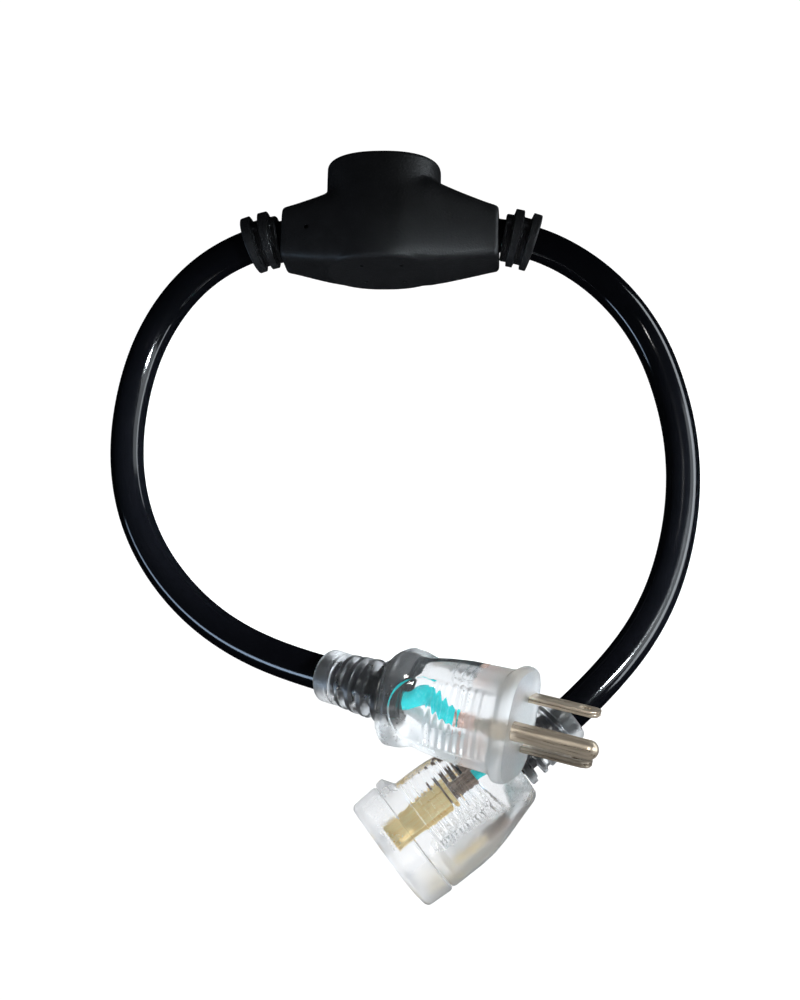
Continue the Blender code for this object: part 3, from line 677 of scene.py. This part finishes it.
def tap_relief(name, node, points, start, flip):
    """Two round discs on a sleeve, tied by a web on top that is pierced by narrow windows."""
    length, count, rings = 8.85, 128, []
    for k in range(int(length / 0.15) + 1):
        x = k * 0.15
        ring = []
        disc = max(float(step_up(1.2 - abs(x - c), 0.35)) for c in (3.2, 7.6))
        for i in range(count):
            a = math.tau * i / count
            lean = math.cos(a - math.radians(90 - 40 * flip))
            web = float(step_up(lean - 0.35, 0.3)) * float(step_up(7.0 - x, 0.5))
            slot = (float(step_up(0.42 - abs(x - 1.1), 0.25)) + float(step_up(0.5 - abs(x - 5.4), 0.25)))
            slot *= float(step_up(lean - 0.62, 0.15))
            r = 6.2 + 0.75 * web - 1.6 * slot * web
            r = max(r, 6.25 + 1.75 * disc)
            edge = min(x, length - x)
            r -= 0.35 * (1 - min(1.0, edge / 0.5)) ** 2
            ring.append(Vector((x, r * math.cos(a), r * math.sin(a))))
        rings.append(ring)
    obj = bend(skin(name, rings), stretch(points, start, 13.0))
    return finished(obj, TAP_M, "tap", [node], 60)


tap_shell()
tap_face()
RELIEF_GAP = 1.2
tap_relief("tap_relief_left", "tap_relief_plug_side", PLUG_ROUTE,
           -TAP_ARM[0] + RELIEF_GAP + ROUTE_PLUG[0][0], 1)
tap_relief("tap_relief_right", "tap_relief_connector_side", CONN_ROUTE,
           TAP_ARM[1] + RELIEF_GAP - ROUTE_CONN[0][0], -1)


# ---------------------------------------------------------------- strain reliefs of the clear devices
def clear_relief(name, node, points, start, length, r0, r1):
    """Sleeve cast onto the jacket, with windows that alternate from side to side and an open collar."""
    step, count, rings = 0.15, 144, []
    windows, pitch = 4, (length - 6.4) / 4
    for k in range(int(round((length - 0.3) / step)) + 1):
        x = k * step
        r = r0 + (r1 - r0) * min(1.0, x / (length - 4.0))
        ridge = 0.0
        for j in range(windows):
            ridge = max(ridge, float(step_up(pitch * 0.28 - abs(x - 2.4 - pitch * (j + 0.75)), 0.4)))
        collar = float(step_up(x - (length - 4.2), 0.4))
        first = float(step_up(1.9 - x, 0.4))
        ring = []
        for i in range(count):
            a = math.tau * i / count
            cut = 0.0
            for j in range(windows):
                lean = math.sin(a) if j % 2 else math.cos(a)
                here = float(step_up(pitch * 0.27 - abs(x - 2.4 - pitch * (j + 0.27)), 0.3))
                cut = max(cut, here * float(step_up(abs(lean) - 0.45, 0.16)))
            rr = r - 0.95 + 0.75 * ridge
            rr = max(rr, (r - 0.05) * max(collar, first))
            rr = rr + (4.85 - rr) * cut * (1 - collar) * (1 - first)
            edge = min(x, length - 0.3 - x)
            rr -= 0.4 * (1 - min(1.0, max(0.0, edge) / 0.6)) ** 2
            ring.append(Vector((x, rr * math.cos(a), rr * math.sin(a))))
        rings.append(ring)
    end = length - 0.3
    mouth = ((end, 5.35), (end - 0.3, 5.1), (end - 3.8, 5.05), (end - 4.0, 4.2))
    rings += [circle(x, r, count) for x, r in mouth]
    obj = bend(skin(name, rings), stretch(points, start, length + 3))
    return finished(obj, TAP_M, "frost", [node], 50)


clear_relief("plug_sleeve", "plug_relief", list(reversed(PLUG_ROUTE)), PLUG_LEN - PLUG_JACKET + 0.5,
             PLUG_RELIEF, 8.1, 6.9)
clear_relief("connector_sleeve", "connector_relief", list(reversed(CONN_ROUTE)), CONN_LEN - CONN_JACKET + 0.5,
             CONN_RELIEF, 8.2, 6.8)


# ---------------------------------------------------------------- clear plug
def plug_moulding():
    flange = [(0.0, 13.4, 12.5, 11.5), (0.35, 14.1, 13.2, 12.2), (0.9, 14.3, 13.4, 12.4),
              (3.0, 14.3, 13.4, 12.4)]
    grip = [(4.2, 12.8, 11.8, 11.2), (9.0, 12.6, 11.5, 10.9), (16.0, 12.4, 11.2, 10.5),
            (22.0, 11.7, 10.9, 10.2)]
    waist_and_ridge = [(25.5, 11.0, 10.5, 9.8), (28.9, 12.0, 11.4, 10.6), (32.4, 12.2, 11.7, 10.9),
                       (34.0, 11.0, 10.7, 10.0), (PLUG_LEN, 9.3, 9.2, 8.6)]
    rows = flange + grip + waist_and_ridge
    obj = moulding("plug_moulding", rows, 2.8, PLUG_PAD, top=3.4)
    return finished(obj, PLUG_M, "plug", ["plug_body"], 50)


def blade(name, node, y):
    """Two folds of plated strip: a hairline seam all round the edge, a coined tip and a hole."""
    t, w, tail = BLADE_T / 2, BLADE_W / 2, 2.0
    out = [(-9.2, -tail), (-7.2, -tail), (-5.6, -w), (BLADE_OUT - 1.6, -w), (BLADE_OUT - 0.4, -w + 0.8),
           (BLADE_OUT, -w + 1.8), (BLADE_OUT, w - 1.8), (BLADE_OUT - 0.4, w - 0.8), (BLADE_OUT - 1.6, w),
           (-5.6, w), (-7.2, tail), (-9.2, tail)]
    leaves = []
    for lo, hi in ((-t, -0.05), (0.05, t)):
        leaf = skin(name, [[Vector((x, y + d, POLE_Z + h)) for x, h in out] for d in (lo, hi)])
        hole = turned("hole", [(-3, 1.55), (3, 1.55)], count=48)
        hole.data.transform(Matrix.Translation((BLADE_OUT - 3.8, y, POLE_Z))
                            @ Matrix.Rotation(math.pi / 2, 4, "Z"))
        combine(leaf, [hole], "DIFFERENCE")
        leaves.append(rounded(leaf, 0.14, 3, 30))
    seam = box("seam", (-9.0, y - 0.12, POLE_Z - 1.7), (BLADE_OUT - 5.6, y + 0.12, POLE_Z + 1.7))
    return finished(joined(name, leaves + [seam]), PLUG_M, "nickel", [node], 30)


def earth_pin():
    """Strip rolled to a round pin: bullet tip, and two seams of the roll along its lower side."""
    r, count, rings = PIN_R, 120, []
    steps = [(-9.2, 1.6), (-7.2, 1.6), (-6.6, 2.1), (-6.0, r)] + [(x, r) for x in np.arange(-5.6, 18.2, 0.4)]
    steps += [(PIN_OUT - r * (1 - math.sin(a)), r * math.cos(a)) for a in np.radians(np.arange(0, 84, 6))]
    for x, rad in steps:
        ring = []
        for i in range(count):
            a = math.tau * i / count
            groove = 0.0
            for seam, width, deep in ((math.radians(200), 0.15, 0.8), (math.radians(228), 0.08, 0.45)):
                off = abs((a - seam + math.pi) % math.tau - math.pi)
                groove = max(groove, deep * float(step_up(width - off, 0.09)))
            groove *= float(step_up(x - 0.2, 0.5)) * float(step_up(PIN_OUT - 0.9 - x, 1.0))
            q = max(0.2, rad - groove)
            ring.append(Vector((x, q * math.cos(a), EARTH_Z + q * math.sin(a))))
        rings.append(ring)
    return finished(skin("earth_pin", rings), PLUG_M, "nickel", ["plug_ground_pin"], 45)


def barrel(name, node, x0, length, radius, at, matrix, look, flat=0.0):
    """Crimped barrel: eased ends, a pressed waist, and a folded seam on top; `flat` makes it squarer."""
    count, rings = 48, []
    for k in range(int(length / 0.2) + 1):
        x = k * 0.2
        u = x / length
        r = radius * (1.0 - 0.13 * math.exp(-((u - 0.5) / 0.22) ** 2))
        r *= 1.0 - 0.12 * (1 - min(1.0, min(x, length - x) / 0.35)) ** 2
        ring = []
        for i in range(count):
            a = math.tau * i / count
            seam = 0.3 * math.exp(-(((a - math.pi / 2 + math.pi) % math.tau - math.pi) / 0.22) ** 2)
            c, s = math.cos(a), math.sin(a)
            if flat:
                c = math.copysign(abs(c) ** (1 - flat), c)
                s = math.copysign(abs(s) ** (1 - flat), s)
            ring.append(Vector((x0 - x, at[0] + (r - seam) * c, at[1] + (r - seam) * s)))
        rings.append(ring)
    return finished(skin(name, rings), matrix, look, [node], 45)


POLES = (("line", (-BLADE_PITCH / 2, POLE_Z), "black"), ("neutral", (BLADE_PITCH / 2, POLE_Z), "white"),
         ("ground", (0.0, EARTH_Z), "green"))
INNER = {"line": (-1.85, -1.1), "neutral": (1.85, -1.1), "ground": (0.0, 2.1)}


def side_of(device):
    """A plug has line and neutral on the other sides from a socket."""
    return -1 if device == "plug" else 1


def poles(device):
    return [(pole, (side_of(device) * y, z), colour) for pole, (y, z), colour in POLES]


def cores(device, x0, x1, matrix, slack=0.0):
    """From the end of the jacket at x1 to the crimps at x0.

    In a device with slack the earth core bows out by that much, the line core keeps to its own side almost
    to the jacket, and both are shown wider than they are, as the curved vinyl shows them.
    """
    run = x1 - x0
    for pole, (y, z), colour in poles(device):
        u, v = INNER[pole]
        u *= side_of(device)
        bow = slack if pole == "ground" else 0.0
        start, end = (x0, y, z), (x1, u, v)
        near = (x0 + run * 0.2, y * 0.98 + u * 0.02 + bow * 0.3, z * 0.98 + v * 0.02)
        if slack and pole == "line":
            middle = (x0 + run * 0.5, y + 0.4, z + 1.2)
            far = (x0 + run * 0.82, y + 0.2, -0.8)
        else:
            middle = (x0 + run * 0.5, (y + u) / 2 + bow, (z + v) / 2)
            far = (x0 + run * 0.85, u + bow * 0.2, v)
        wide = 1.35 if slack and pole != "neutral" else 1.0
        core = wire(f"{device}_core_{colour}", (start, near, middle, far, end), CORE_D / 2, wide=wide)
        finished(core, matrix, colour, [f"{device}_{pole}_wire"], 60)


def plug_jacket_end():
    """Rear plug of black vinyl round the jacket's end, which makes the dark patch seen in the plug."""
    rear, front = -PLUG_LEN, -PLUG_JACKET
    profile = [(rear, 4.62), (rear + 1.5, 6.0), (front - 0.8, 6.2), (front - 0.2, 5.8), (front, 4.0)]
    obj = turned("plug_jacket_end", profile)
    finished(obj, PLUG_M, "jacket", ["cord_plug_side"])


plug_moulding()
blade("plug_blade_line", "plug_line_blade", BLADE_PITCH / 2)
blade("plug_blade_neutral", "plug_neutral_blade", -BLADE_PITCH / 2)
earth_pin()
for pole, at, _ in poles("plug"):
    barrel(f"plug_barrel_{pole}", f"plug_{pole}_crimp", -9.7, 4.2, 2.1, at, PLUG_M, "copper")
cores("plug", -14.1, 0.05 - PLUG_JACKET, PLUG_M, 2.9)
plug_jacket_end()


# ---------------------------------------------------------------- clear connector
def connector_mouldings():
    """The front cap with its slots, and the ribbed grip behind it; both are as high below as above."""
    front = [(0.0, 14.0, 12.3), (0.4, 14.8, 13.0), (1.0, 15.0, 13.2), (7.2, 15.4, 13.5),
             (7.7, 15.3, 13.4), (CONN_CAP, 14.8, 13.0)]
    front = [(*row, row[2]) for row in front]
    cap = moulding("connector_front", front, 3.2, NO_PAD, soft=0.2, step=0.2)
    face_cut(cap, -2.8, 1)
    finished(cap, CONN_M, "conn", ["connector_cap"], 40)
    grip = [(8.3, 14.7, 12.9), (8.7, 15.1, 13.2), (9.2, 15.2, 13.3), (18.0, 15.2, 13.2),
            (22.0, 14.9, 12.9), (27.0, 13.8, 12.4), (33.0, 12.0, 11.6), (38.0, 10.6, 10.8),
            (39.4, 9.9, 10.1), (CONN_LEN, 8.8, 9.0)]
    grip = [(*row, row[2]) for row in grip]
    body = moulding("connector_moulding", grip, 3.2, CONN_PAD, top=4.6, soft=0.3, slim=0.27,
                    brow=(0.80, 0.17))
    finished(body, CONN_M, "conn", ["connector_body"], 50)


def leaf(name, node, at, width, spread, flat):
    """Folded spring strip: two leaves that lean together in front and flare at the mouth."""
    t, back, length = 0.5, -22.0, 18.5
    line = [(back, 0.0), (back + 0.3, spread), (back + 6, spread), (back + length - 4.0, spread - 0.9),
            (back + length - 1.2, spread - 0.7), (back + length, spread)]
    xs = np.linspace(back, back + length, 60)
    mids = np.interp(xs, [p[0] for p in line], [p[1] for p in line])
    mids = np.convolve(np.pad(mids, 2, mode="edge"), np.ones(5) / 5, "valid")
    parts = []
    for sign in (1, -1):
        rings = []
        for x, m in zip(xs, mids):
            lo, hi = sorted((sign * m, sign * (m + t)))
            ring = []
            for c, d in ((-width / 2, lo), (width / 2, lo), (width / 2, hi), (-width / 2, hi)):
                ring.append(Vector((x, at[0] + c, at[1] + d)) if flat else Vector((x, at[0] + d, at[1] + c)))
            rings.append(ring)
        parts.append(skin(name, rings))
    obj = rounded(joined(name, parts), 0.09, 2, 40)
    return finished(obj, CONN_M, "brass", [node], 30)


connector_mouldings()
for pole, at, _ in poles("connector"):
    level = pole == "ground"
    leaf(f"connector_leaf_{pole}", f"connector_{pole}_contact", at, 6.2 if level else 1.6,
         2.2 if level else 0.35, level)
    barrel(f"connector_barrel_{pole}", f"connector_{pole}_crimp", -22.4, 7.0, 2.2, at, CONN_M, "dull",
           0.45)
cores("connector", -29.4, 0.3 - CONN_JACKET, CONN_M)

# ---------------------------------------------------------------- hidden metal and cores inside the T socket
for pole, _, colour in POLES:
    for name, look in (("contact", "brass"), ("wire", colour)):
        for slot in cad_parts[f"tap_{pole}_{name}"].material_slots:
            slot.material = LOOK[look]


# ---------------------------------------------------------------- stage and light
def floor():
    """A bright white table that doesn't show in what shines."""
    mesh = bpy.data.meshes.new("floor")
    far = 30.0
    corners = [(-far, -far, 0), (far, -far, 0), (far, far, 0), (-far, far, 0)]
    mesh.from_pydata(corners, [], [(0, 1, 2, 3)])
    obj = bpy.data.objects.new("floor", mesh)
    bpy.context.scene.collection.objects.link(obj)
    mat, _, bsdf = shader_of("white_sweep", (0.15, 0.15, 0.15), 1.0)
    bsdf.inputs["Specular IOR Level"].default_value = 0.0
    bsdf.inputs["Emission Color"].default_value = (1, 1, 1, 1)
    bsdf.inputs["Emission Strength"].default_value = 0.97
    mesh.materials.append(mat)
    obj.location.z = -0.0002  # clear of the pieces that rest at zero
    obj.visible_glossy = False


def lamp(name, at, towards, size, power, colour, spread=180, glints=True):
    data = bpy.data.lights.new(name, "AREA")
    data.shape, data.size, data.size_y = "RECTANGLE", size[0], size[1]
    data.energy, data.color, data.spread = power, colour, math.radians(spread)
    obj = bpy.data.objects.new(name, data)
    bpy.context.scene.collection.objects.link(obj)
    obj.location = at
    obj.visible_glossy = glints
    obj.rotation_euler = (Vector(towards) - Vector(at)).to_track_quat("-Z", "Y").to_euler()


def room():
    """Even cool light from all round, which shiny pieces don't mirror."""
    world = bpy.data.worlds.new("room")
    bpy.context.scene.world = world
    world.use_nodes = True
    world.node_tree.nodes["Background"].inputs["Color"].default_value = (0.9, 0.95, 1.0, 1)
    world.node_tree.nodes["Background"].inputs["Strength"].default_value = 0.45
    world.cycles_visibility.glossy = False
    bpy.context.scene.view_settings.view_transform = "Standard"


floor()
lamp("window", (0.80, 0.10, 0.35), (0.0, 0.03, 0.02), (0.6, 0.5), 1.9, (0.88, 0.95, 1.0))
lamp("low_strip", (0.21, 0.03, 0.03), (0.05, 0.0, 0.012), (0.30, 0.05), 0.26, (0.86, 0.94, 1.0))
lamp("inner_glint", (0.42, -0.02, 0.47), (-0.08, 0.01, 0.0), (0.04, 0.30), 0.58, (0.85, 0.94, 1.0), 13)
lamp("low_fill", (-0.34, -0.16, 0.06), (-0.06, 0.0, 0.01), (0.30, 0.06), 0.07, (0.55, 0.75, 1.0), 70)
lamp("near_fill", (0.0, -0.45, 0.20), (0.0, 0.07, 0.014), (0.12, 0.08), 0.055, (1.0, 1.0, 1.0), 26, False)
lamp("top_soft", (0.02, 0.02, 0.56), (0.035, -0.070, 0.035), (0.16, 0.16), 0.05, (1.0, 0.99, 0.96), 14)

room()
